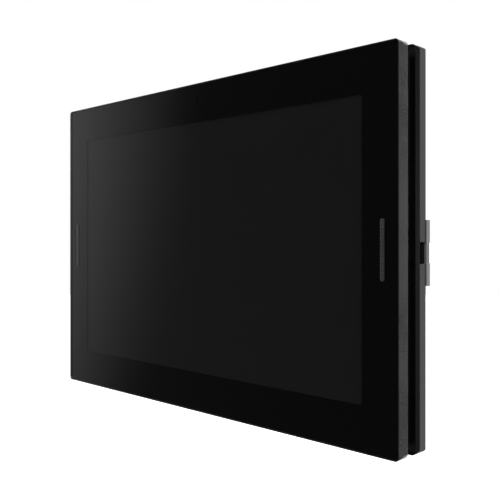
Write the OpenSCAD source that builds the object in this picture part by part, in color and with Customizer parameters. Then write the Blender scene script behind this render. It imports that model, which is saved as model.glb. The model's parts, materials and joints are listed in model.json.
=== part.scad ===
// Wall-hung smart display: a glass-fronted touch screen unit that hangs on a steel wall bracket.
// Seen from the front, +X is right and +Z is up. The front faces -Y and the wall is the plane y = 0.
// Depths, written t, are counted in millimetres from the front of the glass towards the wall.

/* [Body] */
// Width of the metal band
body_w = 256; // [255:1:262]
// Height of the metal band
body_h = 177; // [177:1:182]
// Radius of the corners, seen from the front
corner_r = 2; // [2:0.5:3]
// Depth of the display unit, from the front of the glass to the back of the cover
unit_d = 22.5; // [22.5:0.5:24]
// Gap between the back of the cover and the wall
stand_off = 3; // [3:0.1:3.4]
// Wall thickness of the metal band
band_wall = 1.6; // [1.5:0.1:1.7]
// Width of the metal band's thin rim round the glass
rim_wall = 0.5; // [0.4:0.05:0.6]
// Wall thickness of the rear cover
cover_wall = 2; // [1.8:0.1:2.1]
// How far the dark groove behind the band is set in
groove_inset = 3; // [2.8:0.1:3.2]
// How much narrower the back face is than the band, on each side
back_inset = 0.8; // [0.5:0.1:1]

/* [Screen] */
// Width of the picture area, a 10.1 inch diagonal at 16:10
screen_w = 217; // [210:0.5:218]
// Height of the picture area
screen_h = 135.6; // [130:0.1:137]
// Thickness of the cover glass
glass_t = 1.1; // [1:0.05:1.15]
// Width of the speaker slits in the glass
slit_w = 1.9; // [1.7:0.1:2.1]
// Height of the speaker slits in the glass
slit_h = 26.8; // [24:0.2:28]
// Distance of the speaker slits from the middle
slit_x = 119.5; // [119.4:0.1:119.6]

/* [Buttons] */
// Height of the side latches above the middle
side_z = -1.5; // [-1.5:0.5:1.5]
// Width of the power button on the top edge
power_w = 12; // [10:0.5:12.5]
// Width of the volume rocker on the top edge
rocker_w = 24; // [22:0.5:24.5]
// Height of the side release buttons
release_h = 9; // [8:0.5:10.5]
// How far a side release button is pressed to free its latch
release_travel = 2.8; // [2.6:0.1:2.9]
// How far the privacy shutter slides
shutter_travel = 6; // [5.8:0.1:6.2]

/* [Wall bracket] */
// Width of the bracket's main sheet
bracket_w = 200; // [196:1:202]
// Height of the bracket's main sheet
bracket_h = 124; // [120:1:126]
// Thickness of the bracket's sheet steel
sheet_t = 1.2; // [1.1:0.05:1.25]
// Spacing of the screen-stand hole square
square_hole_pitch = 100; // [100]
// Spacing of the two slots over a round wall box
box_slot_pitch = 60; // [58:0.5:62]
// Height of the side arms that show beside the unit
arm_h = 29; // [27:0.5:31]
// How far the unit is lifted to clear the hanger studs
lift = 7; // [6.5:0.1:7]

/* [Hidden] */
$fn = 48;
cut = 1;
gap = 0.3;
thread_gap = 0.05;

// The body
depth = unit_d + stand_off;
half_w = body_w / 2;
half_h = body_h / 2;
band_in_x = half_w - band_wall;
band_in_z = half_h - band_wall;
screen_edge_r = 1.5;
glass_w = body_w - 2 * rim_wall - 0.2;
glass_h = body_h - 2 * rim_wall - 0.2;
glass_r = corner_r - rim_wall - 0.1;
rim_t = 0.3;

// Depths of the screen's layers, each ending where the next begins
ink_end = glass_t + 0.1;
touch_end = ink_end + 0.3;
cell_end = touch_end + 1.4;
films_end = cell_end + 0.4;
guide_end = films_end + 1.6;
mirror_end = guide_end + 0.2;
tray_end = mirror_end + 0.4;

// Depths of the frame, the chassis and the boards
flange_t = ink_end + 0.7;
flange_end = flange_t + 1;
band_end = 7.1;
chassis_t = tray_end + gap;
chassis_end = chassis_t + 1;
board_t = chassis_end + 2;
board_end = board_t + 1.2;

// Depths of the rear cover and the bracket
groove_end = 13;
side_end = unit_d - 6;
cover_in = unit_d - cover_wall;
skin_t = unit_d + gap;
skin_end = skin_t + sheet_t;
sheet_front = depth - sheet_t;

// The display module inside the frame's opening
module_w = 228.8;
module_h = 148.8;
tray_sheet = 0.4;
opening_w = 230;
opening_h = 149.6;
ring_w = module_w - 2 * tray_sheet - 0.2;
ring_h = module_h - 2 * tray_sheet - 0.2;
ring_in_x = 110.6;
ring_in_z = 70.9;
led_z = -68.8;
flex_x = [-50, -24];
flex_t = [touch_end + 0.8, touch_end + 1];
flex_z = module_h / 2 + 0.15;
flex_sheet = 0.2;
flex_socket_z = [64, 67.5];

// Things behind the top of the glass
camera_z = 79.5;
camera_r = 3.1;
lens_r = 2.25;
sensor_x = 16;
sensor_r = 1.3;
mic_x = 24;
blade_x = [3.1, 9.1];
shutter_arm_x = [5, 8];
shutter_t = [ink_end + 0.1, ink_end + 0.4];
knob_t = [3.6, 5.2];
button_t = [3.3, 5.7];
button_top = half_h + 0.4;
button_foot = 84.75;
power_x = 101;
rocker_x = 72;
rocker_z = 85.6;
rocker_pin_r = 0.8;
key_bracket_t = [6, 6.7];
key_peg_x = [89.6, 110.2];
key_peg_z = 84.2;
key_peg_r = 0.9;
key_board_z = [80.9, 81.7];

// Screws: the long ones go through the cover and the chassis into the frame
cover_screw_at = [for (x = [-119, 119], z = [-80.5, 80.5]) [x, z],
    for (x = [-40, 40], z = [-80.5, 80.5]) [x, z]];
cover_screw_r = 1.45;
cover_boss_r = 3.4;
chassis_screw_at = [for (x = [-119, 119], z = [-45, 45]) [x, z], [-80, -80.5], [80, -80.5]];
chassis_screw_r = 0.95;
board_screw_at = [for (x = [-57, 57], z = [21, 66, -40, -70]) [x, z]];
board_screw_r = 0.95;

// The cable recess in the middle of the back and the sockets in its upper wall
well_x = [-36, 36];
well_z = [-28, 14];
well_t = 9;
well_wall = 1.4;
jack_x = [-22, -6];
jack_t = [well_t, 20.2];
jack_z = [well_z[1] + gap, 30.3];
terminal_x = [2, 13.2];
terminal_t = [board_end, 19.8];
terminal_z = [jack_z[0], 27];
usb_x = [22, 31];
usb_t = [board_end, board_end + 3.3];
usb_z = [jack_z[0], 21.6];

// The speakers behind the slits
speaker_x = [93, 122.6];
speaker_z = 29;
speaker_end = 19.6;
speaker_step_z = 10;
speaker_step_t = 14.2;
speaker_wall = 1.2;
duct_x = [118, 121];
duct_z = 14.3;
driver_at = [106, -18];
driver_r = 9;

// The hanger studs and the keyholes that drop over them
stud_at = [for (x = [-82, 82], z = [-38, 52]) [x, z]];
stud_neck_r = 2.2;
stud_head_r = 4.4;
stud_head_t = [cover_in - 1.7, cover_in - 0.2];
keyhole_r = stud_neck_r + gap;
entry_r = stud_head_r + 0.5;
pocket_r = entry_r + gap;
pocket_t = stud_head_t[0] - 0.5;
pocket_wall = 1.2;

// The release buttons and their latches
button_face = half_w - back_inset - 0.6;
latch_x = [118.6, 121.4];
latch_half = 4;
nose_x = 124.2;
nose_t = [skin_end + 0.15, skin_end + 1.25];
lip_x = latch_x[1] + 0.5;
shoulder_x = [123.6, 125.4];
shoulder_half = 6.8;
tail_x = 117;
tail_half = 3.4;
spring_x = 110.4;
spring_t = 17.8;
spring_r = 2.2;
spring_wire = 0.3;
spring_turns = 5;
spring_pin_r = 1.3;

// The bracket's side arms
arm_x = [98, 110];
arm_skin_end = half_w - 0.5;
arm_window_x = [112, lip_x];
arm_window_half = 11.5;

// Shared shapes

function around(middle, half) = [middle - half, middle + half];

// A flat outline in x and z becomes a plate between two depths
module plate(t0, t1) {
    translate([0, t1 - depth, 0]) rotate([90, 0, 0]) linear_extrude(t1 - t0) children();
}

// A block between two places along x, depth and z
module block(x, t, z) {
    translate([x[0], t[0] - depth, z[0]]) cube([x[1] - x[0], t[1] - t[0], z[1] - z[0]]);
}

module at(x, z) {
    translate([x, 0, z]) children();
}

// A round rod along the depth
module rod(r, t0, t1) {
    plate(t0, t1) circle(r);
}

module both_sides() {
    children();
    mirror([1, 0, 0]) children();
}

module rounded(w, h, r) {
    square([w - 2 * r, h], center = true);
    square([w, h - 2 * r], center = true);
    for (x = [-1, 1], z = [-1, 1])
        translate([x * (w / 2 - r), z * (h / 2 - r)]) circle(r);
}

// An upright slot with round ends
module slot(w, h) {
    square([w, h - w], center = true);
    for (s = [-1, 1])
        translate([0, s * (h - w) / 2]) circle(w / 2);
}

// A keyhole pocket's outline: round at the stud, and at the entry below it
module drop_outline(r) {
    circle(r);
    translate([0, -lift]) circle(r);
    translate([-r, -lift]) square([2 * r, lift]);
}

// A coil of round wire along +X from x0 to x1
module coil(r, wire, x0, x1, turns) {
    steps = 18 * turns;
    sides = 8;
    points = [for (i = [0:steps], j = [0:sides - 1])
        let (a = 360 * turns * i / steps, b = 360 * j / sides, reach = r + wire * cos(b))
        [x0 + wire + (x1 - x0 - 2 * wire) * i / steps + wire * sin(b), reach * cos(a), reach * sin(a)]];
    walls = [for (i = [0:steps - 1], j = [0:sides - 1])
        let (k = (j + 1) % sides)
        [i * sides + j, (i + 1) * sides + j, (i + 1) * sides + k, i * sides + k]];
    ends = [[for (j = [0:sides - 1]) j], [for (j = [sides - 1:-1:0]) steps * sides + j]];
    polyhedron(points, concat(walls, ends));
}

// The wall bracket

module bracket_plate() color("dimgray") difference() {
    union() {
        plate(sheet_front, depth) rounded(bracket_w, bracket_h, 6);
        for (z = [-1, 1])
            block(around(0, bracket_w / 2 - 12), [skin_t + gap, depth],
                around(z * (bracket_h - sheet_t) / 2, sheet_t / 2));
        both_sides() at(0, side_z) bracket_arm();
    }
    block([-35, 35], [sheet_front - cut, depth + cut], [well_z[0] - 2, well_z[1]]);
    for (x = [-1, 1], z = [-1, 1])
        at(x * square_hole_pitch / 2, z * square_hole_pitch / 2) rod(2.25, sheet_front - cut, depth + cut);
    for (x = [-1, 1], z = [26, -44])
        at(x * box_slot_pitch / 2, z)
            plate(sheet_front - cut, depth + cut) rotate(90) slot(3.8, 8);
    for (p = stud_at)
        at(p[0], p[1]) rod(stud_neck_r - 0.2, sheet_front - cut, depth + cut);
}

// One side arm steps forward to the back of the cover, with a window for the latch
module bracket_arm() {
    arm_z = around(0, arm_h / 2);
    rim = arm_skin_end - sheet_t;
    block(arm_x, [sheet_front, depth], arm_z);
    block([arm_x[1] - sheet_t, arm_x[1]], [skin_t, depth], arm_z);
    difference() {
        union() {
            block([arm_x[1] - sheet_t, arm_skin_end], [skin_t, skin_end], arm_z);
            block([rim, arm_skin_end], [skin_t, depth], arm_z);
        }
        block(arm_window_x, [skin_t - cut, skin_end + cut], around(0, arm_window_half));
        block([rim - cut, arm_skin_end + cut], [skin_end, depth + cut], around(0, release_h / 2));
    }
}

// A rubber stop plugged into the notch in each arm's rim, with a wider head inside
module latch_stops() color("black") both_sides() at(0, side_z) {
    rim = arm_skin_end - sheet_t;
    head_over = 1;
    set_in = 0.4;
    t = [skin_end + thread_gap, depth - thread_gap - 0.15];
    block([nose_x + 0.5, rim - thread_gap], t, around(0, release_h / 2 + head_over));
    block([rim - 0.1, arm_skin_end - set_in], t, around(0, release_h / 2 - thread_gap));
}

// Shoulder studs riveted to the sheet
module hanger_studs() color("silver") for (p = stud_at) at(p[0], p[1]) {
    rod(stud_head_r, stud_head_t[0], stud_head_t[1]);
    rod(stud_neck_r, stud_head_t[1], sheet_front);
    rod(stud_neck_r - 0.2 - thread_gap, sheet_front, depth - 0.1);
}

// The glass and the screen behind it

module slit_cuts(w, h, t0, t1) {
    both_sides() at(slit_x, 0) plate(t0 - cut, t1 + cut) slot(w, h);
}

module cover_glass() color("black") difference() {
    plate(0, glass_t) rounded(glass_w, glass_h, glass_r);
    slit_cuts(slit_w, slit_h, 0, glass_t);
}

// The black print on the back of the glass, open at the picture, the lens and the light sensor
module ink_border() color("black") difference() {
    plate(glass_t, ink_end) rounded(glass_w - 0.2, glass_h - 0.2, glass_r - 0.1);
    plate(glass_t - cut, ink_end + cut) rounded(screen_w, screen_h, 0.8);
    slit_cuts(slit_w, slit_h, glass_t, ink_end);
    at(0, camera_z) rod(lens_r, glass_t - cut, ink_end + cut);
    at(sensor_x, camera_z) rod(1, glass_t - cut, ink_end + cut);
}

module touch_film() color("black") block(around(0, 113), [ink_end, touch_end], around(0, 72.5));

module display_gasket() color("dimgray") difference() {
    plate(ink_end, flange_t) rounded(2 * band_in_x - 0.4, 2 * band_in_z - 0.4, corner_r - band_wall - 0.1);
    plate(ink_end - cut, flange_t + cut) rounded(opening_w + 1, opening_h + 1.4, screen_edge_r);
    both_sides() block([duct_x[0] - 0.1, duct_x[1] + 0.1], [ink_end - cut, flange_t + cut],
        around(0, duct_z + 0.5));
    block([-3.6, blade_x[1] + 0.5], [ink_end - cut, flange_t + cut], [opening_h / 2, band_in_z - 0.4]);
    at(sensor_x, camera_z) rod(sensor_r + 0.2, ink_end - cut, flange_t + cut);
}

module lcd_cell() color("black") block(around(0, 112), [touch_end, cell_end], around(0, 71.5));

module optical_films() color("white")
    block(around(0, ring_in_x - gap), [cell_end, films_end], around(0, ring_in_z - gap));

module light_guide() color("whitesmoke")
    block(around(0, ring_in_x - gap), [films_end, guide_end], [led_z + 0.2, ring_in_z - gap]);

module reflector_sheet() color("silver")
    block(around(0, ring_in_x - gap), [guide_end, mirror_end], around(0, ring_in_z - gap));

// A moulded ring holds the films and the light guide
module backlight_frame() color("white") difference() {
    block(around(0, ring_w / 2), [cell_end, mirror_end], around(0, ring_h / 2));
    block(around(0, ring_in_x), [cell_end - cut, mirror_end + cut], around(0, ring_in_z));
}

// Lamps on a strip along the bottom edge of the light guide
module led_strip() color("gold") {
    strip_z = [-70.8, -70.4];
    lamps = 36;
    pitch = 6;
    block(around(0, 108), [films_end + 0.1, guide_end - 0.1], strip_z);
    for (i = [0:lamps - 1])
        block(around((i - (lamps - 1) / 2) * pitch, 1.5), [films_end + 0.3, guide_end - 0.3],
            [strip_z[1], led_z]);
}

// Folded steel tray with an edge all round, notched for the screen's flat cable
module backlight_tray() color("silver") {
    edge_t = touch_end + 0.5;
    difference() {
        block(around(0, module_w / 2), [edge_t, tray_end], around(0, module_h / 2));
        block(around(0, module_w / 2 - tray_sheet), [edge_t - cut, mirror_end],
            around(0, module_h / 2 - tray_sheet));
        block([flex_x[0] - 1, flex_x[1] + 1], [edge_t - cut, flex_t[1] + 0.2],
            [module_h / 2 - cut, module_h / 2 + cut]);
    }
}

module foam_pads() color("darkslategray") for (x = [-95, -30, 30, 95])
    block(around(x, 5), [tray_end, chassis_t], around(0, 60));

// The flat cable leaves the top of the cell, turns over the tray's edge and runs back to its socket
module display_flex() color("peru") {
    end_t = board_t - 0.6;
    block(flex_x, flex_t, [71.5, flex_z + flex_sheet]);
    block(flex_x, [flex_t[0], end_t], [flex_z, flex_z + flex_sheet]);
    block(flex_x, [end_t - flex_sheet, end_t], [flex_socket_z[1], flex_z + flex_sheet]);
}

// The metal band and the chassis

module front_frame() color("slategray") difference() {
    union() {
        difference() {
            plate(rim_t, band_end) rounded(body_w, body_h, corner_r);
            plate(rim_t - cut, ink_end)
                rounded(body_w - 2 * rim_wall, body_h - 2 * rim_wall, corner_r - rim_wall);
            plate(ink_end - cut, band_end + cut)
                rounded(2 * band_in_x, 2 * band_in_z, corner_r - band_wall);
        }
        difference() {
            plate(flange_t, flange_end) rounded(body_w - band_wall, body_h - band_wall, corner_r - 1);
            plate(flange_t - cut, flange_end + cut) rounded(opening_w, opening_h, screen_edge_r);
        }
        for (p = cover_screw_at)
            at(p[0], p[1]) rod(cover_boss_r - 0.2, flange_end - 0.1, chassis_t);
        for (p = chassis_screw_at)
            at(p[0], p[1]) rod(2.6, flange_end - 0.1, chassis_t);
        for (x = key_peg_x)
            at(x, key_peg_z) rod(key_peg_r, flange_end - 0.1, key_bracket_t[1]);
    }
    for (p = cover_screw_at)
        at(p[0], p[1]) rod(cover_screw_r + thread_gap, flange_end + 0.2, band_end);
    for (p = chassis_screw_at)
        at(p[0], p[1]) rod(chassis_screw_r + thread_gap, flange_end + 0.2, band_end);
    flange_cuts();
    top_wall_cuts();
}

// Openings in the flange for sound, the lens, the light sensor, the shutter and the rocker's pin
module flange_cuts() {
    t = [flange_t - cut, flange_end + cut];
    both_sides() block(duct_x, t, around(0, duct_z + 0.1));
    at(0, camera_z) rod(camera_r + 0.2, t[0], t[1]);
    at(sensor_x, camera_z) rod(sensor_r + 0.2, t[0], t[1]);
    block([shutter_arm_x[0] - shutter_travel - 0.4, shutter_arm_x[1] + 0.4], t, [84.4, 86.6]);
    at(rocker_x, rocker_z) rod(rocker_pin_r + thread_gap, t[0], t[1]);
}

// Slots in the top wall for the shutter's knob, the rocker and the power button, and two sound holes
module top_wall_cuts() {
    z = [band_in_z - 0.5, half_h + cut];
    slot_t = [button_t[0] - 0.2, button_t[1] + 0.2];
    block([blade_x[0] - shutter_travel - 0.2, blade_x[1] + 0.3], [knob_t[0] - 0.2, knob_t[1] + 0.2], z);
    block(around(rocker_x, rocker_w / 2 + 0.6), slot_t, z);
    block(around(power_x, power_w / 2 + 0.2), slot_t, z);
    for (x = [-mic_x, mic_x])
        translate([x, 5 - depth, z[0]]) cylinder(r = 0.6, h = z[1] - z[0]);
}

// Pressed plate behind the screen, with stand-offs for the boards
module chassis_plate() color("lightgray") difference() {
    union() {
        plate(chassis_t, chassis_end) rounded(2 * band_in_x - 0.4, 2 * band_in_z - 0.4, 3);
        for (p = board_screw_at)
            at(p[0], p[1]) rod(2.6, chassis_end - 0.1, board_t);
    }
    t = [chassis_t - cut, chassis_end + cut];
    both_sides() block([duct_x[0] - 1.2, speaker_x[1]], t, around(0, duct_z + 1.3));
    block([-30, 30], t, [74.9, half_h]);
    block([55.8, 113], t, [80.2, half_h]);
    block([flex_x[0] - 2, flex_x[1] + 2], t, [73.9, 76.4]);
    for (p = cover_screw_at)
        at(p[0], p[1]) rod(cover_screw_r + 0.25, t[0], t[1]);
    for (p = chassis_screw_at)
        at(p[0], p[1]) rod(chassis_screw_r + 0.2, t[0], t[1]);
    for (p = board_screw_at)
        at(p[0], p[1]) rod(board_screw_r + thread_gap, t[0], board_t + cut);
}

// The boards and what is on them

// Components as [x, z, width, height, thickness] on the back of a board
module board_parts(parts) {
    for (p = parts)
        block(around(p[0], p[2] / 2), [board_end, board_end + p[4]], around(p[1], p[3] / 2));
}

module main_board() color("darkgreen") difference() {
    block([-62, 62], [board_t, board_end], [17, 71]);
    block([jack_x[0] - gap, jack_x[1] + gap], [board_t - cut, board_end + cut], [16, jack_z[1] + gap]);
    for (p = board_screw_at)
        at(p[0], p[1]) rod(1.3, board_t - cut, board_end + cut);
}

// Processor, memory, power, wireless and network chips, and the socket of the screen's flat cable
module main_board_chips() color("black") {
    board_parts([[-34, 52, 14, 14, 1.4], [-14, 58, 11, 8, 1], [-14, 46, 11, 8, 1], [-36, 40, 6, 6, 0.9],
        [19, 54, 12, 9, 1.2], [40, 50, 7, 7, 0.9], [-42, 26, 8, 8, 1], [46, 34, 8, 5, 1.6],
        [-54, 44, 3, 9, 2.2], [52, 46, 3, 9, 2.2]]);
    block(flex_x, [board_t - 1.2, board_t], flex_socket_z);
}

// Pressed lids over the processor and the wireless chips
module shield_cans() color("silver") {
    lid = 0.3;
    height = 2.4;
    for (c = [[-27, 49, 44, 32], [19, 54, 22, 20]])
        difference() {
            block(around(c[0], c[2] / 2), [board_end, board_end + height], around(c[1], c[3] / 2));
            block(around(c[0], c[2] / 2 - lid), [board_end - cut, board_end + height - lid],
                around(c[1], c[3] / 2 - lid));
        }
}

// Finned aluminium on the processor's lid
module heat_sink() color("lightgray") {
    foot = board_end + 2.4;
    block([-48, -6], [foot, foot + 1.2], [34, 64]);
    for (x = [-46:4:-8])
        block(around(x, 0.6), [foot + 1.2, foot + 6], [34, 64]);
}

// The network socket opens downwards, into the cable recess
module ethernet_jack() color("silver") difference() {
    block(jack_x, jack_t, jack_z);
    middle = (jack_x[0] + jack_x[1]) / 2;
    block(around(middle, 5.9), [jack_t[0] + 1.4, jack_t[1] - 1.8], [jack_z[0] - cut, jack_z[0] + 13]);
    block(around(middle, 3), [jack_t[0] + 0.6, jack_t[0] + 2], [jack_z[0] - cut, jack_z[0] + 9]);
}

module terminal_block() color("seagreen") difference() {
    pitch = 5.6;
    block(terminal_x, terminal_t, terminal_z);
    for (i = [0, 1]) {
        x = terminal_x[0] + (i + 0.5) * pitch;
        block(around(x, 1.9), around(terminal_t[0] + 3.4, 1.9), [terminal_z[0] - cut, terminal_z[0] + 8]);
        at(x, terminal_z[0] + 5) rod(1.7, terminal_t[1] - 1.2, terminal_t[1] + cut);
    }
}

module usb_port() color("silver") difference() {
    block(usb_x, usb_t, usb_z);
    block([usb_x[0] + 0.4, usb_x[1] - 0.4], [usb_t[0] + 0.4, usb_t[1] - 0.4],
        [usb_z[0] - cut, usb_z[1] - 0.6]);
}

module power_board() color("darkgreen") difference() {
    block([-62, 62], [board_t, board_end], [-75, -35]);
    for (p = board_screw_at)
        at(p[0], p[1]) rod(1.3, board_t - cut, board_end + cut);
}

// Two ferrite halves around a wound bobbin
module power_transformer() color("darkslategray") {
    t = [board_end, board_end + 9];
    block([-50, -46], t, [-66, -44]);
    block([-36, -32], t, [-66, -44]);
    block([-46, -36], [t[0] + 1, t[1] - 1], [-63, -47]);
}

module power_capacitors() color("midnightblue") for (p = [[-24, -50], [-24, -62], [-12, -62]])
    at(p[0], p[1]) rod(4, board_end, board_end + 9);

module power_parts() color("black") {
    board_parts([[-12, -49, 8, 6, 2.4], [4, -52, 12, 12, 5], [20, -52, 10, 10, 4.5], [6, -67, 8, 5, 2],
        [24, -67, 6, 5, 1.6], [40, -60, 14, 8, 6]]);
}

// A flat cable with a plug at each end joins the two boards beside the cable recess
module board_harness() color("whitesmoke") {
    x = [44, 54];
    plug_t = [board_end, board_end + 2.6];
    block(x, plug_t, [-46, -42]);
    block(x, plug_t, [21, 25]);
    block([x[0] + 1, x[1] - 1], [plug_t[1] - 1, plug_t[1] - 0.2], [-42, 21]);
}

// Sound

// A box behind the chassis with a duct that runs forward to the slit in the glass
module speaker() {
    lid_t = chassis_end + 1.2;
    inner_x = [speaker_x[0] + speaker_wall, speaker_x[1] - speaker_wall];
    inner_z = speaker_z - speaker_wall;
    nose_wall = 1;
    difference() {
        union() {
            block(speaker_x, [chassis_end, speaker_end], around(0, speaker_z));
            block([duct_x[0] - nose_wall, speaker_x[1] - 0.2], [flange_end, chassis_end + 0.1],
                around(0, duct_z + nose_wall));
        }
        block(speaker_x + [-cut, cut], [speaker_step_t, speaker_end + cut], around(0, speaker_step_z));
        block(inner_x, [chassis_end - 0.2, lid_t], around(0, inner_z));
        for (z = [[-inner_z, -speaker_step_z - speaker_wall], [speaker_step_z + speaker_wall, inner_z]])
            block(inner_x, [lid_t + speaker_wall, speaker_end - speaker_wall], z);
        block(inner_x, [lid_t + speaker_wall, speaker_step_t - speaker_wall], around(0, inner_z));
        block(duct_x, [flange_end - cut, lid_t], around(0, duct_z));
        at(driver_at[0], driver_at[1]) {
            rod(driver_r + 0.1, lid_t - cut, lid_t + 0.7);
            rod(driver_r - 0.9, lid_t - cut, lid_t + speaker_wall + cut);
        }
    }
}

// The driver: rim, basket and magnet with a shallow cone in front
module driver() {
    front = chassis_end + 1.2;
    at(driver_at[0], driver_at[1]) translate([0, front - depth, 0]) rotate([-90, 0, 0])
        rotate_extrude() polygon([[0, 1.6], [3, 0.9], [3.4, 1.4], [driver_r - 2, 0.2], [driver_r - 1, 0],
            [driver_r, 0], [driver_r, 0.7], [driver_r - 1, 0.7], [driver_r - 1.4, 3], [6, 3.4], [6, 7],
            [0, 7]]);
}

// The pierced strip that fills a slit and is held behind the glass
module grille() {
    holes = 17;
    pitch = 1.5;
    at(slit_x, 0) difference() {
        union() {
            plate(gap, ink_end + 0.1) slot(slit_w - 0.2, slit_h - 0.2);
            plate(ink_end, flange_t) square([duct_x[1] - duct_x[0], 2 * duct_z + 0.6], center = true);
        }
        for (i = [0:holes - 1])
            at(0, (i - (holes - 1) / 2) * pitch) rod(0.45, 0, flange_t + cut);
    }
}

module left_speaker() color("dimgray") mirror([1, 0, 0]) speaker();
module right_speaker() color("dimgray") speaker();
module left_driver() color("gray") mirror([1, 0, 0]) driver();
module right_driver() color("gray") driver();
module left_grille() color("dimgray") mirror([1, 0, 0]) grille();
module right_grille() color("dimgray") grille();

// A two-core lead runs from each speaker to a socket on the main board
module speaker_leads() color("firebrick") both_sides() {
    block([55, 60], [board_end, board_end + 2], [25.6, 29.4]);
    block([60, speaker_x[0]], [board_end + 0.4, board_end + 1.4], [26.4, 28.6]);
}

// The camera, the sensors and the wireless parts

module sensor_board() color("darkgreen") block(around(0, 28), [5.6, 6.4], [75.6, 83.8]);

module camera_module() color("black") difference() {
    union() {
        block(around(0, 3.8), [flange_end + 0.1, 5.6], around(camera_z, 3.8));
        at(0, camera_z) rod(camera_r, flange_t + 0.05, flange_end + 0.2);
    }
    at(0, camera_z) rod(lens_r + 0.1, flange_t - cut, flange_end + 0.6);
}

module camera_lens() color("midnightblue") at(0, camera_z) rod(lens_r, flange_t + 0.3, flange_end + 0.6);

// A clear pipe leads light from the glass to its sensor
module light_sensor() color("lightgray") at(sensor_x, camera_z) {
    rod(sensor_r, ink_end, 4.6);
    block(around(0, 2), [4.6, 5.6], around(0, 1.5));
}

module microphones() color("goldenrod") for (x = [-mic_x, mic_x])
    block(around(x, 1.75), [4.6, 5.6], around(81.5, 1.35));

// Two aerials stuck inside the back of the cover, near its upper corners
module wifi_antennas() color("peru") both_sides()
    block([96, 118], [cover_in - 0.4, cover_in], [62, 74]);

// Each thin coaxial lead runs along the cover from its aerial, drops and plugs into the main board
module antenna_leads() color("black") {
    lead = 1;
    lead_z = [69, 69 + lead];
    drop_x = 58;
    cover_t = [cover_in - 0.4 - lead, cover_in - 0.4];
    low_t = [board_end + 0.1, board_end + 0.1 + lead];
    both_sides() {
        block([drop_x, 98], cover_t, lead_z);
        block([drop_x, drop_x + lead], [low_t[0], cover_t[1]], lead_z);
        block([30, drop_x + lead], low_t, lead_z);
        block([28, 30.5], [board_end, board_end + 1.5], [68.2, 70.8]);
    }
}

// The top keys

module key_board() color("darkgreen") block([58, 112], [flange_end + gap, key_bracket_t[0]], key_board_z);

// Three press switches under the feet of the keys
module key_switches() color("silver") for (x = [rocker_x - 8, rocker_x + 8, power_x]) {
    block(around(x, 3), [button_t[0], button_t[1]], [key_board_z[1], 83.4]);
    block(around(x, 1), [button_t[0] + 0.7, button_t[1] - 0.7], [83.4, 84.15]);
}

// A plate holds the key board and the rocker's pin, on two pegs of the frame
module key_bracket() color("silver") difference() {
    block([57, 112], key_bracket_t, [80.4, 86.6]);
    for (x = key_peg_x)
        at(x, key_peg_z) rod(key_peg_r + thread_gap, key_bracket_t[0] - cut, key_bracket_t[1] + cut);
    at(rocker_x, rocker_z) rod(rocker_pin_r + thread_gap, key_bracket_t[0] - cut, key_bracket_t[1] + cut);
}

module power_button() color("dimgray") {
    block(around(power_x, power_w / 2), button_t, [86, button_top]);
    block(around(power_x, power_w / 2 + 1.2), [flange_end + 0.1, key_bracket_t[0] - 0.1], [85.2, 86.3]);
    block(around(power_x, 1.4), [button_t[0] + 0.6, button_t[1] - 0.6], [button_foot, 85.2]);
}

// One bar that rocks on a pin, with a foot over each switch
module volume_rocker() color("dimgray") {
    block(around(rocker_x, rocker_w / 2), button_t, [86, button_top]);
    block(around(rocker_x, rocker_w / 2 + 1.2), [flange_end + 0.1, key_bracket_t[0] - 0.1], [85.3, 86.2]);
    for (s = [-1, 1])
        block(around(rocker_x + s * 8, 1), [button_t[0] + 0.6, button_t[1] - 0.6], [button_foot, 85.3]);
    at(rocker_x, rocker_z) {
        rod(rocker_pin_r + 0.4, flange_end + 0.1, key_bracket_t[0] - 0.1);
        rod(rocker_pin_r, flange_t + 0.2, key_bracket_t[1] - 0.1);
    }
}

// A thin blade in front of the lens, on a carriage with a knob in the top edge
module privacy_shutter() color("darkorange") {
    lens_half = lens_r + 1;
    carriage_z = [86, 86.6];
    block(blade_x, shutter_t, around(camera_z, lens_half));
    block(shutter_arm_x, shutter_t, [camera_z + lens_half, 86.2]);
    block(shutter_arm_x, [shutter_t[0], knob_t[1]], [84.8, 86.2]);
    block([blade_x[0] - shutter_travel - 0.4, blade_x[1] + shutter_travel + 0.4],
        [flange_end + 0.1, key_bracket_t[0]], carriage_z);
    block([blade_x[0] + 0.1, blade_x[1]], knob_t, [carriage_z[1], half_h + 0.3]);
}

// The rear cover

// A solid the size of the band whose sides lean in over its last part
module cover_outline() {
    rise = unit_d - side_end;
    side = [[-1, 0], [1, 0], [1, rise], [-1, rise]];
    function lean(half) = [for (p = side) [p[0] * (half - (p[1] > 0 ? back_inset : 0)), p[1]]];
    plate(groove_end, side_end) rounded(body_w, body_h, corner_r);
    intersection() {
        plate(side_end, unit_d) rounded(body_w, body_h, corner_r);
        translate([0, side_end - depth, -body_h]) linear_extrude(2 * body_h) polygon(lean(half_w));
        translate([-body_w, side_end - depth, 0]) rotate([90, 0, 90])
            linear_extrude(2 * body_w) polygon([for (p = lean(half_h)) [p[1], p[0]]]);
    }
}

module cover_shell() {
    neck_w = body_w - 2 * groove_inset;
    neck_h = body_h - 2 * groove_inset;
    step_end = groove_end + cover_wall;
    difference() {
        union() {
            plate(chassis_end, groove_end + 0.1) rounded(neck_w, neck_h, 3);
            cover_outline();
        }
        plate(chassis_end - cut, step_end + 0.1)
            rounded(neck_w - 2 * cover_wall, neck_h - 2 * cover_wall, 2);
        plate(step_end, cover_in) rounded(body_w - 2 * cover_wall - 0.8, body_h - 2 * cover_wall - 0.8, 3);
    }
}

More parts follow.
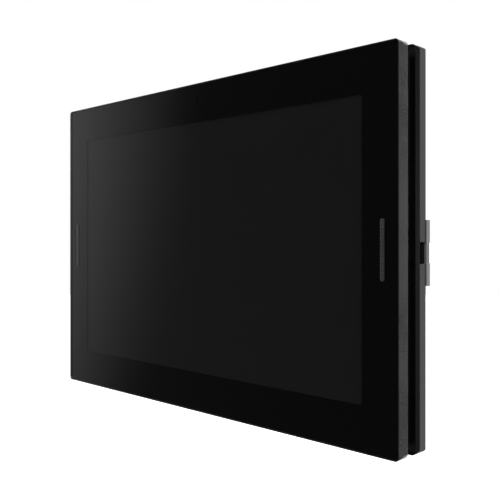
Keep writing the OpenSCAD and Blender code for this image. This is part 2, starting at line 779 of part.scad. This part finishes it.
// Guide rails and the spring's seat for one release button
module release_guide() {
    rail = 1.2;
    half = shoulder_half + gap;
    seat_t = [spring_t - 2.4, cover_in + 0.1];
    for (s = [-1, 1])
        block([spring_x + 0.6, 126], [seat_t[0] - 0.6, cover_in + 0.1],
            around(s * (half + rail / 2), rail / 2));
    block([spring_x - 1.4, spring_x], seat_t, around(0, half + rail));
    translate([spring_x - 0.1, spring_t - depth, 0]) rotate([0, 90, 0]) cylinder(r = spring_pin_r, h = 1.7);
}

module release_cuts() {
    half = release_h / 2 + gap;
    block([latch_x[0] - release_travel - 2, half_w + cut], [cover_in - cut, unit_d + cut], around(0, half));
    block([shoulder_x[1], half_w + cut], [side_end - 0.4, unit_d + cut], around(0, half));
}

// A moulded box behind the opening in the back, with a window for each socket in its upper wall
module cable_bay() color("darkslategray") difference() {
    window_z = [well_z[1] - cut, well_z[1] + well_wall + cut];
    block(well_x + [-well_wall, well_wall], [well_t - well_wall, cover_in],
        well_z + [-well_wall, well_wall]);
    block(well_x, [well_t, cover_in + cut], well_z);
    block(jack_x + [-gap, gap], [well_t, cover_in + cut], window_z);
    block(terminal_x + [-gap, gap], terminal_t + [-gap, gap], window_z);
    block(usb_x + [-gap, gap], usb_t + [-gap, gap], window_z);
}

// Slots in the groove above and below, and rows of slots in the back near the top and the bottom
module vent_cuts() {
    for (i = [-14:14], s = [-1, 1]) {
        if (abs(abs(i) * 6 - 40) > 5 && abs(abs(i) * 6 - 80) > 5)
            block(around(i * 6, 1.5), [9.4, 12], s > 0 ? [83, 86] : [-86, -83]);
        if (abs(i) < 13 && abs(abs(i) * 5 - 40) > 4)
            at(i * 5, s * 72) plate(cover_in - cut, unit_d + cut) slot(2, 10);
    }
}

module rear_cover() color("darkslategray") difference() {
    union() {
        cover_shell();
        for (p = cover_screw_at)
            at(p[0], p[1]) rod(cover_boss_r, chassis_end, cover_in + 0.1);
        for (p = stud_at)
            at(p[0], p[1]) plate(pocket_t - pocket_wall, cover_in + 0.1)
                drop_outline(pocket_r + pocket_wall);
        both_sides() at(0, side_z) release_guide();
    }
    for (p = cover_screw_at)
        at(p[0], p[1]) {
            rod(cover_screw_r + 0.25, chassis_end - cut, unit_d + cut);
            rod(3.1, unit_d - 2.6, unit_d + cut);
        }
    for (p = stud_at)
        at(p[0], p[1]) {
            plate(pocket_t, cover_in) drop_outline(pocket_r);
            plate(cover_in - cut, unit_d + cut) drop_outline(keyhole_r);
            at(0, -lift) rod(entry_r, cover_in - cut, unit_d + cut);
        }
    both_sides() at(0, side_z) release_cuts();
    block(well_x, [cover_in - cut, unit_d + cut], well_z);
    vent_cuts();
}

// Screws, each with a pan head and a cross in it

module screw(r, head_r, head_t, tip_t, head_h) {
    difference() {
        union() {
            rod(r, tip_t, head_t + 0.1);
            rod(head_r, head_t, head_t + head_h);
        }
        for (turn = [0, 90])
            rotate([0, turn, 0])
                block(around(0, head_r * 0.55), [head_t + head_h * 0.5, head_t + head_h + cut],
                    around(0, head_r * 0.13));
    }
}

module cover_screws() color("black") for (p = cover_screw_at)
    at(p[0], p[1]) screw(cover_screw_r, 2.8, unit_d - 2.6, flange_end + 0.6, 2);

module chassis_screws() color("silver") for (p = chassis_screw_at)
    at(p[0], p[1]) screw(chassis_screw_r, 1.9, chassis_end, flange_end + 0.6, 1.1);

module board_screws() color("silver") for (p = board_screw_at)
    at(p[0], p[1]) screw(board_screw_r, 2, board_end, chassis_t + 0.2, 1.2);

// The release buttons, their latches and their springs

module release_button() {
    half = release_h / 2;
    cap_t = [side_end - 0.1, unit_d - 0.2];
    guide_t = [spring_t - 2.2, cover_in - 0.2];
    block([shoulder_x[0], button_face], cap_t, around(0, half));
    block(shoulder_x, guide_t, around(0, shoulder_half));
    block([tail_x, shoulder_x[0] + 0.1], guide_t, around(0, tail_half));
    block([latch_x[0], shoulder_x[0] + 0.1], [guide_t[1] - 0.1, cap_t[1]], around(0, half));
    block(latch_x, [cap_t[1] - 0.1, nose_t[0] + 0.1], around(0, latch_half));
    block([latch_x[0], nose_x], nose_t, around(0, latch_half));
    translate([tail_x - 1, spring_t - depth, 0]) rotate([0, 90, 0]) cylinder(r = spring_pin_r, h = 1.1);
}

module release_spring() {
    translate([0, spring_t - depth, 0]) coil(spring_r, spring_wire, spring_x, tail_x, spring_turns);
}

module left_release_button() color("black") mirror([1, 0, 0]) at(0, side_z) release_button();
module right_release_button() color("black") at(0, side_z) release_button();
module left_release_spring() color("silver") mirror([1, 0, 0]) at(0, side_z) release_spring();
module right_release_spring() color("silver") at(0, side_z) release_spring();

bracket_plate();
hanger_studs();
latch_stops();
cover_glass();
ink_border();
touch_film();
display_gasket();
lcd_cell();
optical_films();
light_guide();
reflector_sheet();
backlight_frame();
led_strip();
backlight_tray();
foam_pads();
display_flex();
front_frame();
chassis_plate();
main_board();
main_board_chips();
shield_cans();
heat_sink();
ethernet_jack();
terminal_block();
usb_port();
power_board();
power_transformer();
power_capacitors();
power_parts();
board_harness();
left_speaker();
right_speaker();
left_driver();
right_driver();
left_grille();
right_grille();
speaker_leads();
sensor_board();
camera_module();
camera_lens();
light_sensor();
microphones();
wifi_antennas();
antenna_leads();
key_board();
key_switches();
key_bracket();
rear_cover();
cable_bay();
cover_screws();
chassis_screws();
board_screws();
left_release_spring();
right_release_spring();
privacy_shutter();
power_button();
volume_rocker();
left_release_button();
right_release_button();
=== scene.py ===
import json
import math

import bmesh
import bpy
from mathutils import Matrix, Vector


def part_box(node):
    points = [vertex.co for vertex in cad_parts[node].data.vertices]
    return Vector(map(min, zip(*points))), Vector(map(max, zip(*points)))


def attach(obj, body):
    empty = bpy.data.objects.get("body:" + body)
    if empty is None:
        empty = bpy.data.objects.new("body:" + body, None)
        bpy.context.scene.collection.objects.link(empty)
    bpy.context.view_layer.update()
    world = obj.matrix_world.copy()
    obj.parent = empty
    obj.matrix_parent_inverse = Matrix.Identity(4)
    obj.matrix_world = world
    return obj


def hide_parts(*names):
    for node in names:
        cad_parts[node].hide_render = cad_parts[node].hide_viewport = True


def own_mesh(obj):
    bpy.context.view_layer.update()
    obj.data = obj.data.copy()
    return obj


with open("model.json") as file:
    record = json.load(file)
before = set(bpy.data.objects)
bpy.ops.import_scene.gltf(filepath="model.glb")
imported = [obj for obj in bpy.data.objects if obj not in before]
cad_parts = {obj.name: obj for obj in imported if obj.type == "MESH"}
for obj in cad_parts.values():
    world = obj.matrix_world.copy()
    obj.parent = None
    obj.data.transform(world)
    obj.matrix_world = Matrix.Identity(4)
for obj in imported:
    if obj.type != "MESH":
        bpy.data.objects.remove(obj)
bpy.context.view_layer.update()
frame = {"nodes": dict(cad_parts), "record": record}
NODES = frame["nodes"]
scene = bpy.context.scene


# ---------------------------------------------------------------- settings, in metres and degrees

CAMERA_PLACE = (0.2983, -0.28356, 0.00515)
CAMERA_LOOK = (-0.70622, 0.70799, 0)
LENS_MM = 52.49
LENS_RISE = -0.0244
FLOOR_Z = -0.55
FLOOR_SIDE = 12.0

# The room's dim light, and its bright patches: direction, how drawn out upwards, the angles in degrees
# where the patch is full and where it ends, and its strength
ROOM_DIM = 0.063
PATCHES = [
    ((-0.996, -0.087, 0.15), 1.5, 20, 36.5, 0.71),
    ((-0.26, 0.966, 0.0), 2.0, 24, 44, 1.1),
    ((0.68, -0.10, 0.70), 1.0, 15, 45, 2.0),
    ((-0.60, 0.30, 0.80), 1.0, 15, 50, 0.6),
]

# Points closer than this are one point, and edges flatter or sharper than these count as flat or sharp
WELD = 1e-6
FLAT_DEG = 0.5
SHARP_DEG = 35
# How far a clear piece stops short of the layer behind it
CLEAR_GAP = 0.00002
# The radius that rounds the edges of each piece
EDGE_RADIUS = {
    "front_frame": 0.00012,
    "rear_cover": 0.0002,
    "bracket_plate": 0.0002,
    "power_button": 0.0002,
    "volume_rocker": 0.0002,
    "privacy_shutter": 0.00008,
    "left_release_button": 0.00015,
    "right_release_button": 0.00015,
    "cable_bay": 0.0002,
}
GLASS_EDGE_RADIUS = 0.00012
FILM_EDGE_RADIUS = 0.00004


# ---------------------------------------------------------------- camera, room and light

def add_camera(place, look, lens, rise):
    data = bpy.data.cameras.new("camera")
    data.lens = lens
    data.sensor_width = 36.0
    data.shift_y = rise
    data.clip_start = 0.01
    data.clip_end = 50.0
    data.dof.use_dof = False
    cam = bpy.data.objects.new("camera", data)
    cam.location = place
    cam.rotation_mode = "QUATERNION"
    cam.rotation_quaternion = Vector(look).to_track_quat("-Z", "Y")
    scene.collection.objects.link(cam)
    scene.camera = cam


def add_floor(z, side):
    mesh = bpy.data.meshes.new("floor")
    bm = bmesh.new()
    bmesh.ops.create_grid(bm, x_segments=8, y_segments=8, size=side / 2)
    bm.to_mesh(mesh)
    bm.free()
    floor = bpy.data.objects.new("floor", mesh)
    floor.location.z = z
    scene.collection.objects.link(floor)
    mat = bpy.data.materials.new("floor_paint")
    mat.use_nodes = True
    bsdf = mat.node_tree.nodes["Principled BSDF"]
    bsdf.inputs["Base Color"].default_value = (0.9, 0.9, 0.9, 1)
    bsdf.inputs["Roughness"].default_value = 0.9
    bsdf.inputs["Emission Color"].default_value = (1, 1, 1, 1)
    bsdf.inputs["Emission Strength"].default_value = 0.8
    mesh.materials.append(mat)
    floor.visible_glossy = False
    floor.visible_diffuse = False


def add_world(dim, patches):
    """White for the camera. For the light on the object, a dim room with soft bright patches."""
    world = bpy.data.worlds.new("studio")
    scene.world = world
    world.use_nodes = True
    nt = world.node_tree
    nt.nodes.clear()
    where = nt.nodes.new("ShaderNodeTexCoord").outputs["Generated"]
    total = None
    for toward, tall, inner, outer, power in patches:
        squash = nt.nodes.new("ShaderNodeVectorMath")
        squash.operation = "MULTIPLY"
        nt.links.new(where, squash.inputs[0])
        squash.inputs[1].default_value = (1, 1, 1 / tall)
        unit = nt.nodes.new("ShaderNodeVectorMath")
        unit.operation = "NORMALIZE"
        nt.links.new(squash.outputs["Vector"], unit.inputs[0])
        dot = nt.nodes.new("ShaderNodeVectorMath")
        dot.operation = "DOT_PRODUCT"
        nt.links.new(unit.outputs["Vector"], dot.inputs[0])
        dot.inputs[1].default_value = Vector(toward).normalized()
        ramp = nt.nodes.new("ShaderNodeMapRange")
        ramp.interpolation_type = "SMOOTHSTEP"
        ramp.inputs["From Min"].default_value = math.cos(math.radians(outer))
        ramp.inputs["From Max"].default_value = math.cos(math.radians(inner))
        ramp.inputs["To Min"].default_value = 0.0
        ramp.inputs["To Max"].default_value = power
        nt.links.new(dot.outputs["Value"], ramp.inputs["Value"])
        add = nt.nodes.new("ShaderNodeMath")
        add.operation = "ADD"
        nt.links.new(ramp.outputs["Result"], add.inputs[0])
        if total is None:
            add.inputs[1].default_value = dim
        else:
            nt.links.new(total, add.inputs[1])
        total = add.outputs["Value"]
    room = nt.nodes.new("ShaderNodeBackground")
    room.inputs["Color"].default_value = (1, 1, 1, 1)
    nt.links.new(total, room.inputs["Strength"])
    white = nt.nodes.new("ShaderNodeBackground")
    white.inputs["Color"].default_value = (1, 1, 1, 1)
    seen = nt.nodes.new("ShaderNodeLightPath")
    mix = nt.nodes.new("ShaderNodeMixShader")
    out = nt.nodes.new("ShaderNodeOutputWorld")
    nt.links.new(seen.outputs["Is Camera Ray"], mix.inputs["Fac"])
    nt.links.new(room.outputs[0], mix.inputs[1])
    nt.links.new(white.outputs[0], mix.inputs[2])
    nt.links.new(mix.outputs[0], out.inputs["Surface"])


add_camera(CAMERA_PLACE, CAMERA_LOOK, LENS_MM, LENS_RISE)
add_floor(FLOOR_Z, FLOOR_SIDE)
add_world(ROOM_DIM, PATCHES)
scene.view_settings.view_transform = "Standard"


# ---------------------------------------------------------------- materials

class Shader:
    """A small helper for building one node material."""

    def __init__(self, name):
        self.mat = bpy.data.materials.new(name)
        self.mat.use_nodes = True
        self.nt = self.mat.node_tree
        self.nt.nodes.clear()
        self.out = self.node("OutputMaterial")
        self.coord = self.node("TexCoord").outputs["Object"]

    def node(self, kind, **props):
        n = self.nt.nodes.new("ShaderNode" + kind)
        for key, value in props.items():
            setattr(n, key, value)
        return n

    def link(self, a, b):
        self.nt.links.new(a, b)

    def stretched(self, scale):
        m = self.node("Mapping")
        m.inputs["Scale"].default_value = scale
        self.link(self.coord, m.inputs["Vector"])
        return m.outputs["Vector"]

    def noise(self, scale, detail=2.0, rough=0.5, vector=None):
        n = self.node("TexNoise")
        n.inputs["Scale"].default_value = scale
        n.inputs["Detail"].default_value = detail
        n.inputs["Roughness"].default_value = rough
        self.link(vector or self.coord, n.inputs["Vector"])
        return n.outputs["Fac"]

    def cells(self, scale):
        n = self.node("TexVoronoi")
        n.inputs["Scale"].default_value = scale
        self.link(self.coord, n.inputs["Vector"])
        return n.outputs["Distance"]

    def ramp(self, value, low, high, frm=0.3, to=0.7):
        """Value mapped from frm..to onto low..high, held at both ends."""
        n = self.node("MapRange")
        n.inputs["From Min"].default_value = frm
        n.inputs["From Max"].default_value = to
        n.inputs["To Min"].default_value = low
        n.inputs["To Max"].default_value = high
        self.link(value, n.inputs["Value"])
        return n.outputs["Result"]

    def colours(self, value, a, b, frm=0.3, to=0.7):
        n = self.node("ValToRGB")
        n.color_ramp.elements[0].position = frm
        n.color_ramp.elements[0].color = (*a, 1)
        n.color_ramp.elements[1].position = to
        n.color_ramp.elements[1].color = (*b, 1)
        self.link(value, n.inputs["Fac"])
        return n.outputs["Color"]

    def maths(self, op, a, b):
        n = self.node("Math", operation=op)
        for socket, v in zip(n.inputs, (a, b)):
            if isinstance(v, (int, float)):
                socket.default_value = v
            else:
                self.link(v, socket)
        return n.outputs["Value"]

    def mix(self, fac, a, b):
        n = self.node("Mix", data_type="RGBA")
        for socket, v in zip((n.inputs[0], n.inputs[6], n.inputs[7]), (fac, a, b)):
            if isinstance(v, (int, float)):
                socket.default_value = v
            elif isinstance(v, tuple):
                socket.default_value = (*v, 1)
            else:
                self.link(v, socket)
        return n.outputs[2]

    def bump(self, height, distance, strength=1.0, normal=None):
        n = self.node("Bump")
        n.inputs["Distance"].default_value = distance
        n.inputs["Strength"].default_value = strength
        self.link(height, n.inputs["Height"])
        if normal is not None:
            self.link(normal, n.inputs["Normal"])
        return n.outputs["Normal"]

    def edge_wear_and_highlight(self, radius):
        """0 on flat faces, rising to about 1 along the outer edges."""
        near = self.edge(radius)
        flat = self.node("NewGeometry").outputs["True Normal"]
        dot = self.node("VectorMath", operation="DOT_PRODUCT")
        self.link(near, dot.inputs[0])
        self.link(flat, dot.inputs[1])
        return self.ramp(dot.outputs["Value"], 1.0, 0.0, 0.8, 0.995)

    def edge(self, radius):
        n = self.node("Bevel")
        n.samples = 4
        n.inputs["Radius"].default_value = radius
        return n.outputs["Normal"]

    def surface(self, color, rough, metallic=0.0, normal=None, **more):
        p = self.node("BsdfPrincipled")
        for key, v in {"Base Color": color, "Roughness": rough, "Metallic": metallic,
                       "Normal": normal, **more}.items():
            if v is None:
                continue
            socket = p.inputs[key]
            if isinstance(v, tuple):
                socket.default_value = (*v, 1)
            elif isinstance(v, (int, float)):
                socket.default_value = v
            else:
                self.link(v, socket)
        return p.outputs["BSDF"]

    def done(self, shader):
        self.link(shader, self.out.inputs["Surface"])
        return self.mat


def moulded(name, dark, light, rough, grain=2600.0, depth=0.00002, edge=0.0003, **more):
    """Moulded plastic: fine grain, slow tone changes and, unless edge is 0, edges shaded as rounded."""
    s = Shader(name)
    slow = s.noise(18.0, 4.0)
    fine = s.noise(grain, 2.0, 0.6)
    color = s.colours(slow, dark, light)
    roughness = s.ramp(slow, rough - 0.05, rough + 0.05)
    normal = s.bump(fine, depth, 0.6, s.edge(edge) if edge else None)
    return s.done(s.surface(color, roughness, normal=normal, **more))


def metal(name, dark, light, rough, stretch=(1, 1, 1), grain=3000.0, depth=0.000012, edge=0.0002,
          painted_front_shade=None):
    """Metal with a grain that can be drawn out one way. The darker tone given for faces to the front is
    painted shade.
    """
    s = Shader(name)
    lines = s.noise(grain, 3.0, 0.6, s.stretched(stretch))
    slow = s.noise(25.0, 3.0)
    tone = s.maths("ADD", s.maths("MULTIPLY", lines, 0.6), s.maths("MULTIPLY", slow, 0.4))
    color = s.colours(tone, dark, light)
    # Painted shade: faces turned to the front are drawn in a darker tone
    if painted_front_shade:
        split = s.node("SeparateXYZ")
        s.link(s.node("NewGeometry").outputs["True Normal"], split.inputs[0])
        color = s.mix(s.ramp(split.outputs["Y"], 1.0, 0.0, -0.95, -0.7), color, painted_front_shade)
    roughness = s.ramp(tone, rough - 0.08, rough + 0.08)
    normal = s.bump(lines, depth, 0.5, s.edge(edge))
    return s.done(s.surface(color, roughness, 1.0, normal))


def powder_coat(name, dark, light, bare, rough):
    """Paint baked from powder: an orange-peel skin with specks, thin and paler along the edges."""
    s = Shader(name)
    peel = s.noise(900.0, 3.0, 0.55)
    specks = s.cells(1400.0)
    slow = s.noise(14.0, 4.0)
    tone = s.maths("ADD", s.maths("MULTIPLY", slow, 0.7), s.maths("MULTIPLY", specks, 0.3))
    rub = s.maths("MULTIPLY", s.edge_wear_and_highlight(0.0004), s.ramp(s.noise(120.0, 4.0), 0.0, 0.8, 0.45, 0.65))
    color = s.mix(rub, s.colours(tone, dark, light), bare)
    height = s.maths("ADD", peel, s.maths("MULTIPLY", specks, 0.4))
    normal = s.bump(height, 0.00003, 0.5, s.edge(0.0002))
    return s.done(s.surface(color, s.ramp(slow, rough - 0.06, rough + 0.06), normal=normal))


def grained_shell(name, dark, light, rough, **more):
    """A moulded shell with spark-eroded grain. Where hands rub its edges it is a little glossier, and its
    edges are drawn lighter as a painted highlight.
    """
    s = Shader(name)
    pits = s.cells(1500.0)
    fine = s.noise(3200.0, 2.0, 0.6)
    slow = s.noise(11.0, 5.0)
    rub = s.edge_wear_and_highlight(0.0005)
    # Painted highlight: along the edges the colour is drawn lighter than the shell's own
    edge_highlight_colour = tuple(1.8 * v for v in light)
    color = s.mix(s.maths("MULTIPLY", rub, 0.3), s.colours(slow, dark, light), edge_highlight_colour)
    height = s.maths("ADD", s.maths("MULTIPLY", pits, 0.7), s.maths("MULTIPLY", fine, 0.3))
    normal = s.bump(height, 0.000012, 0.5, s.edge(0.0003))
    drift = s.ramp(slow, rough - 0.04, rough + 0.04)
    roughness = s.maths("SUBTRACT", drift, s.maths("MULTIPLY", rub, 0.05))
    return s.done(s.surface(color, roughness, normal=normal, **more))


def etched_board(name, mask, copper, pad):
    """Solder mask over copper tracks that run both ways, with bare pads."""
    s = Shader(name)
    along = s.node("TexWave", wave_type="BANDS", bands_direction="X")
    across = s.node("TexWave", wave_type="BANDS", bands_direction="Z")
    for wave in (along, across):
        wave.inputs["Scale"].default_value = 260.0
        s.link(s.coord, wave.inputs["Vector"])
    patch = s.ramp(s.noise(70.0, 0.0), 0.0, 1.0, 0.49, 0.51)
    lines = s.mix(patch, along.outputs["Fac"], across.outputs["Fac"])
    used = s.ramp(s.noise(160.0, 1.0), 0.0, 1.0, 0.44, 0.48)
    track = s.maths("MULTIPLY", s.ramp(lines, 0.0, 1.0, 0.62, 0.72), used)
    dot = s.ramp(s.cells(420.0), 1.0, 0.0, 0.12, 0.16)
    color = s.mix(dot, s.mix(track, mask, copper), pad)
    normal = s.bump(s.maths("ADD", track, dot), 0.00003, 0.6)
    return s.done(s.surface(color, s.ramp(dot, 0.4, 0.25, 0.0, 1.0), s.maths("MULTIPLY", dot, 0.9), normal))


def switched_off_screen(name, dark, light):
    """The dark cell of the screen, with a slow drift in its tone and its gloss."""
    s = Shader(name)
    slow = s.noise(9.0, 3.0)
    color = s.colours(slow, dark, light)
    return s.done(s.surface(color, s.ramp(slow, 0.09, 0.13), **{"Specular IOR Level": 0.2}))


def clear_glass(name, tint, rough):
    """A clear pane: a gloss on its outer faces over whatever lies behind it."""
    s = Shader(name)
    smear = s.noise(22.0, 5.0, 0.6)
    front = s.maths("SUBTRACT", 1.0, s.node("NewGeometry").outputs["Backfacing"])
    fresnel = s.node("Fresnel")
    fresnel.inputs["IOR"].default_value = 1.38
    gloss = s.node("BsdfAnisotropic")
    gloss.distribution = "GGX"
    s.link(s.ramp(smear, rough, rough + 0.05), gloss.inputs["Roughness"])
    clear = s.node("BsdfTransparent")
    s.link(s.colours(smear, tint, tuple(0.98 * v for v in tint)), clear.inputs["Color"])
    mix = s.node("MixShader")
    s.link(s.maths("MULTIPLY", fresnel.outputs["Fac"], front), mix.inputs["Fac"])
    s.link(clear.outputs[0], mix.inputs[1])
    s.link(gloss.outputs[0], mix.inputs[2])
    return s.done(mix.outputs[0])


def clear_film(name):
    """A clear film bonded behind the glass, so it has no gloss of its own."""
    s = Shader(name)
    clear = s.node("BsdfTransparent")
    s.link(s.colours(s.noise(30.0, 3.0), (0.95, 0.955, 0.96), (0.97, 0.97, 0.97)), clear.inputs["Color"])
    return s.done(clear.outputs[0])


MATS = {
    "cover_glass": clear_glass("cover_glass", (0.97, 0.975, 0.98), 0.02),
    "black_print": moulded(
        "black_print", (0.002, 0.002, 0.0022), (0.003, 0.003, 0.0032), 0.1, depth=0.000001, edge=0.0,
        **{"Specular IOR Level": 0.2}),
    "touch_film": clear_film("touch_film"),
    "light_sensor": moulded(
        "light_sensor", (0.006, 0.006, 0.007), (0.01, 0.01, 0.012), 0.1, depth=0.000001),
    "screen_glass": switched_off_screen("screen_glass", (0.040, 0.040, 0.0407), (0.044, 0.044, 0.0447)),
    "white_film": moulded("white_film", (0.78, 0.78, 0.76), (0.85, 0.85, 0.84), 0.5),
    "clear_acrylic": moulded("clear_acrylic", (0.8, 0.83, 0.84), (0.88, 0.9, 0.92), 0.15),
    "foam": moulded("foam", (0.02, 0.02, 0.02), (0.05, 0.05, 0.05), 0.9, grain=1500.0, depth=0.0002),
    # The band's faces to the front get a darker tone, a painted shade
    "band_metal": metal(
        "band_metal", (0.34, 0.34, 0.35), (0.40, 0.40, 0.41), 0.28, grain=5200.0, edge=0.0001,
        painted_front_shade=(0.06, 0.06, 0.061)),
    "bracket_steel": powder_coat(
        "bracket_steel", (0.41, 0.41, 0.42), (0.47, 0.47, 0.48), (0.62, 0.62, 0.6), 0.5),
    "bare_steel": metal("bare_steel", (0.5, 0.5, 0.48), (0.68, 0.68, 0.66), 0.32, (1, 1, 0.06), 1800.0),
    "black_steel": metal("black_steel", (0.04, 0.04, 0.04), (0.07, 0.07, 0.07), 0.35),
    "cover_plastic": grained_shell(
        "cover_plastic", (0.006, 0.006, 0.0064), (0.009, 0.009, 0.0095), 0.24,
        **{"Specular IOR Level": 0.26}),
    "button_plastic": moulded(
        "button_plastic", (0.004, 0.004, 0.0043), (0.007, 0.007, 0.0074), 0.15, depth=0.000002,
        **{"Specular IOR Level": 0.15}),
    "latch_stops": moulded(
        "latch_stops", (0.006, 0.006, 0.006), (0.011, 0.011, 0.011), 0.7, grain=1500.0, depth=0.00008,
        **{"Specular IOR Level": 0.15}),
    "key_plastic": moulded("key_plastic", (0.085, 0.085, 0.09), (0.11, 0.11, 0.115), 0.4),
    "shutter_plastic": moulded("shutter_plastic", (0.035, 0.035, 0.035), (0.05, 0.05, 0.05), 0.45),
    "grille_steel": metal("grille_steel", (0.24, 0.24, 0.245), (0.34, 0.34, 0.345), 0.5),
    "circuit_board": etched_board(
        "circuit_board", (0.012, 0.10, 0.045), (0.03, 0.19, 0.08), (0.75, 0.68, 0.45)),
    "flex_film": moulded("flex_film", (0.42, 0.22, 0.05), (0.55, 0.31, 0.09), 0.3),
    "chip_black": moulded("chip_black", (0.02, 0.02, 0.02), (0.035, 0.035, 0.035), 0.5),
    "aluminium_fins": metal(
        "aluminium_fins", (0.55, 0.55, 0.57), (0.66, 0.66, 0.68), 0.35, (1, 1, 0.05), 1500.0),
    "connector_plastic": moulded("connector_plastic", (0.03, 0.28, 0.12), (0.05, 0.36, 0.17), 0.3),
    "white_plastic": moulded("white_plastic", (0.74, 0.74, 0.72), (0.83, 0.83, 0.81), 0.4),
    "black_plastic": moulded("black_plastic", (0.03, 0.03, 0.031), (0.045, 0.045, 0.047), 0.45),
    "lens_glass": moulded(
        "lens_glass", (0.004, 0.003, 0.01), (0.008, 0.006, 0.02), 0.06, depth=0.000001),
    "lead_sleeve": moulded("lead_sleeve", (0.035, 0.035, 0.035), (0.055, 0.055, 0.055), 0.5),
    "lamp_strip": moulded("lamp_strip", (0.85, 0.75, 0.3), (0.92, 0.9, 0.7), 0.4),
    "ferrite": moulded("ferrite", (0.06, 0.06, 0.065), (0.09, 0.09, 0.095), 0.7, depth=0.00005),
    "can_aluminium": metal("can_aluminium", (0.08, 0.1, 0.26), (0.12, 0.14, 0.34), 0.35),
}

SLOT_OF = {part["node"]: part["material_slot"] for part in frame["record"]["subparts"]}
BODY_OF = {node: body for body, nodes in frame["record"]["behaviour"]["bodies"].items() for node in nodes}

for name, slot in SLOT_OF.items():
    for holder in NODES[name].material_slots:
        holder.material = MATS.get(name, MATS[slot])


# ---------------------------------------------------------------- rounded edges

def soften(name, width, shy=0.0):
    """A copy of a node with its sharp edges rounded stands for it. Nothing grows, so the size stays.
    A shy piece stops short of the layer behind it, so that a clear face never lies in an opaque one."""
    bm = bmesh.new()
    bm.from_mesh(NODES[name].data)
    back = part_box(name)[1][1]
    for v in bm.verts:
        if v.co.y > back - WELD:
            v.co.y -= shy
    bmesh.ops.remove_doubles(bm, verts=bm.verts, dist=WELD)
    bmesh.ops.dissolve_limit(bm, angle_limit=math.radians(FLAT_DEG), verts=bm.verts, edges=bm.edges)
    mesh = bpy.data.meshes.new(name + "_rounded")
    bm.to_mesh(mesh)
    bm.free()
    piece = bpy.data.objects.new(name + "_rounded", mesh)
    scene.collection.objects.link(piece)
    round_off = piece.modifiers.new("round_off", "BEVEL")
    round_off.width = width
    round_off.segments = 2
    round_off.limit_method = "ANGLE"
    round_off.angle_limit = math.radians(SHARP_DEG)
    round_off.use_clamp_overlap = True
    piece.data = bpy.data.meshes.new_from_object(piece.evaluated_get(bpy.context.evaluated_depsgraph_get()))
    piece.modifiers.clear()
    stand_in(piece, name)


def stand_in(piece, name):
    """The piece is shown in place of the node, with the node's material, body and slot."""
    piece.data.materials.clear()
    piece.data.materials.append(MATS.get(name, MATS[SLOT_OF[name]]))
    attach(piece, BODY_OF[name])
    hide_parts(name)


def springy(side):
    """The release button's coil spring, copied to stand for its node, with a mesh of its own."""
    name = side + "_release_spring"
    coil = bpy.data.objects.new(name + "_coil", NODES[name].data.copy())
    scene.collection.objects.link(coil)
    stand_in(coil, name)
    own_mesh(coil)


soften("cover_glass", GLASS_EDGE_RADIUS, shy=CLEAR_GAP)
soften("touch_film", FILM_EDGE_RADIUS, shy=CLEAR_GAP)
for name, radius in EDGE_RADIUS.items():
    soften(name, radius)
springy("left")
springy("right")
